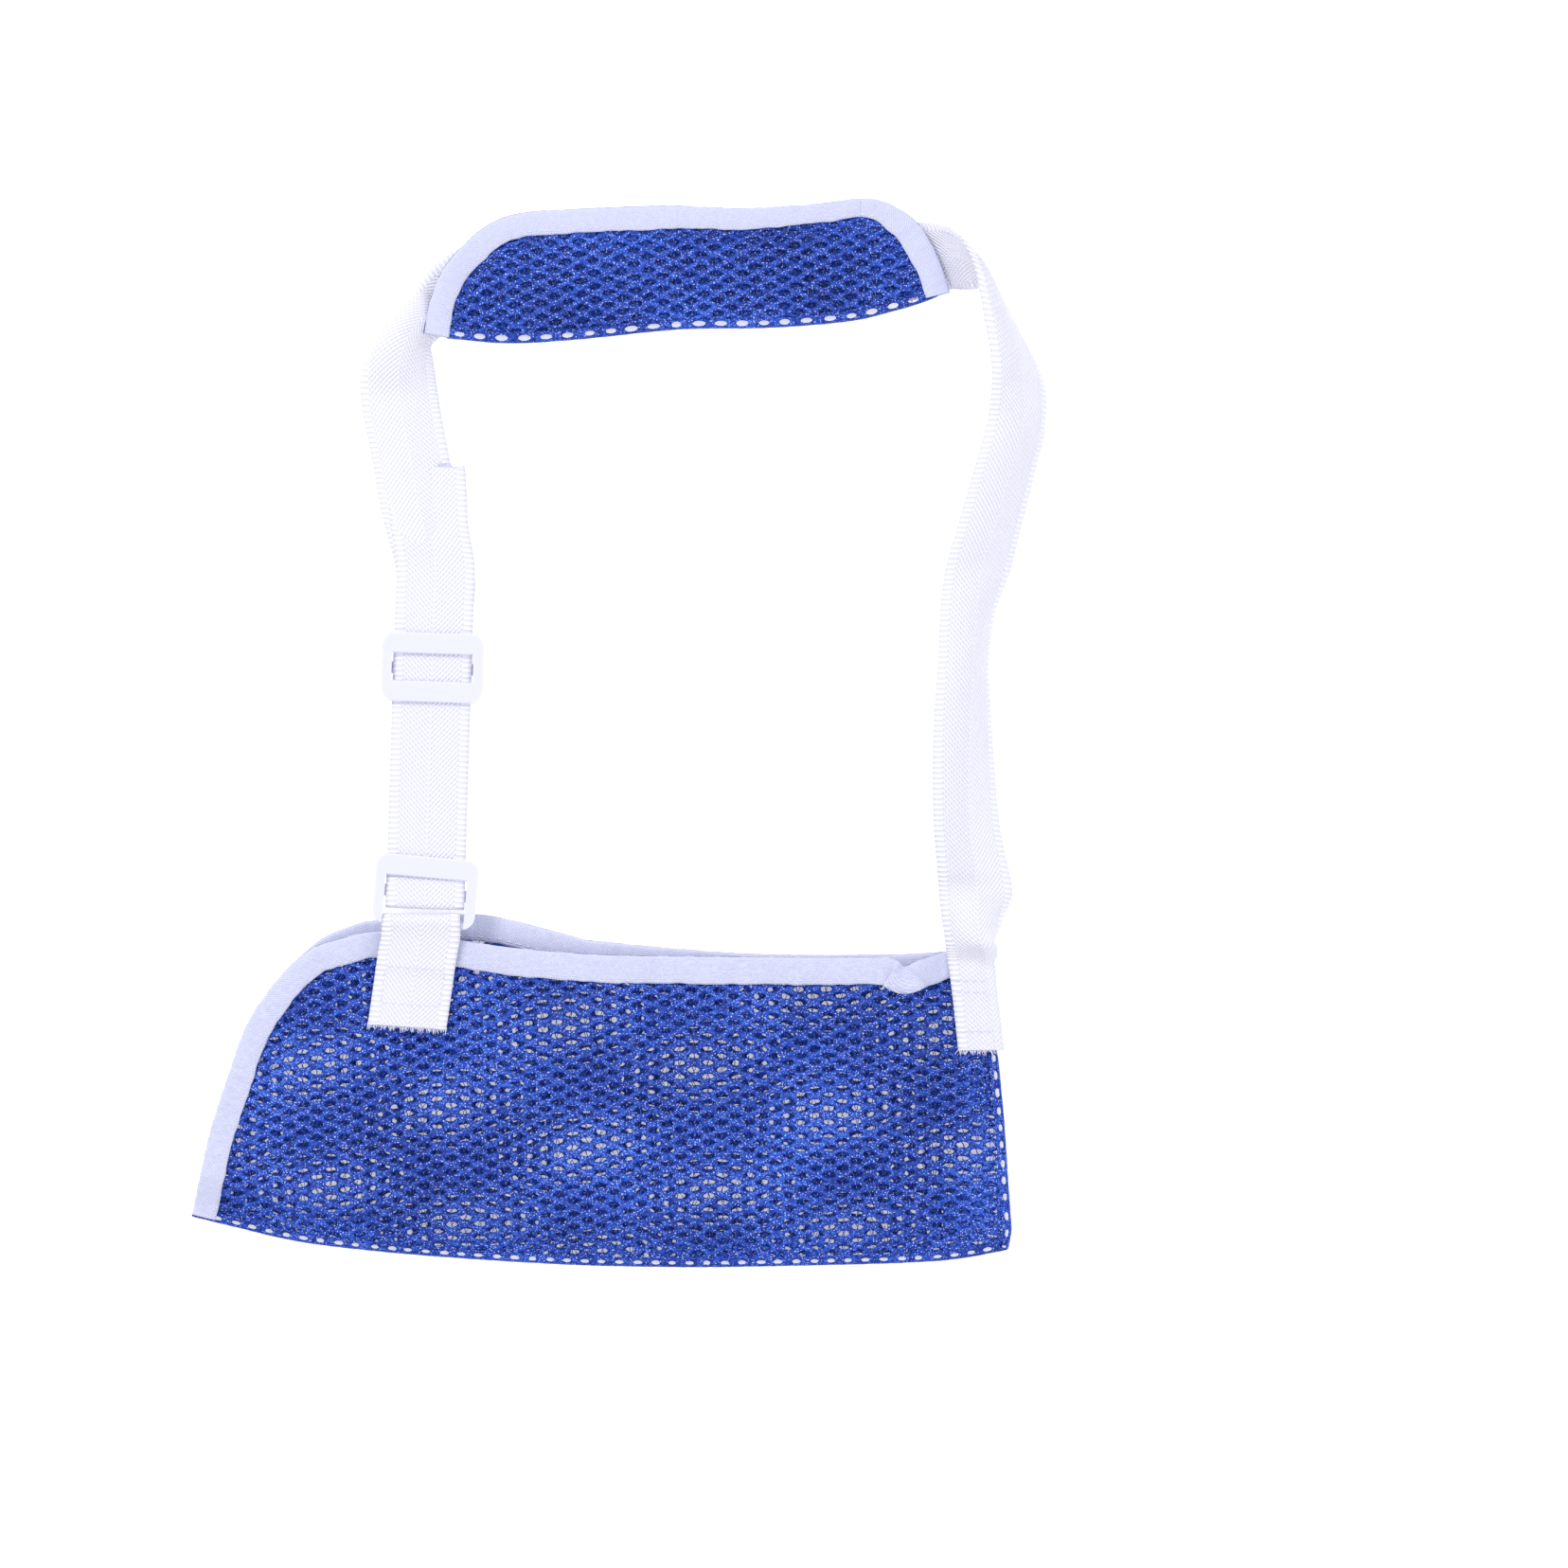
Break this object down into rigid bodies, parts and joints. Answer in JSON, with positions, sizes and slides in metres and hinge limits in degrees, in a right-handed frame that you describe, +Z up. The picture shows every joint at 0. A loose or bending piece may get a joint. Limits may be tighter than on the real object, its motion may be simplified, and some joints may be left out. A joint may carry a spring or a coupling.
{
  "type": "arm sling",
  "caption": "Child-size arm sling laid flat: open-topped mesh forearm pouch with bound edges, adjustable webbing shoulder strap, buckle, slider and folded mesh shoulder pad.",
  "frame": {"origin": "centre of the pouch's back face, on the surface that the sling lies on", "axes": "+X from the open end of the pouch to its elbow end, +Y from the pouch to the shoulder pad, +Z up off the surface"},
  "size_m": [0.2607, 0.327, 0.0192],
  "materials": {
    "mesh": "perforated warp-knit polyester mesh, royal blue, slightly shiny yarn",
    "binding": "plain woven lavender-white binding tape",
    "webbing": "white herringbone webbing with ribbed selvedges",
    "thread": "white polyester sewing thread",
    "buckle_plastic": "natural white translucent moulded plastic"
  },
  "bodies": {
    "pouch": {"back_panel": "mesh", "front_panel": "mesh", "back_binding": "binding", "front_binding": "binding", "back_binding_stitching": "thread", "front_binding_stitching": "thread", "bottom_seam_stitching": "thread", "elbow_seam_stitching": "thread", "buckle_tab": "webbing", "tab_stitching": "thread", "strap_sewn_end": "webbing", "strap_end_stitching": "thread"},
    "shoulder_strap": {"lower_buckle": "buckle_plastic", "shoulder_strap": "webbing", "pad_mesh": "mesh", "pad_binding": "binding", "pad_end_binding": "binding", "pad_binding_stitching": "thread", "pad_tack_stitching": "thread"},
    "upper_slider": {"upper_slider": "buckle_plastic"}
  },
  "joints": [
    {"name": "strap_loop_swing", "type": "hinge", "parent": "pouch", "child": "shoulder_strap", "pos_m": [-0.0543, 0.0567, 0.0111], "axis": [0.9948, -0.0905, -0.0461], "range_deg": [0, 120]},
    {"name": "upper_slider_slide", "type": "slide", "parent": "shoulder_strap", "child": "upper_slider", "axis": [0.0278, 0.9968, -0.075], "range_m": [-0.042, 0.018]}
  ]
}
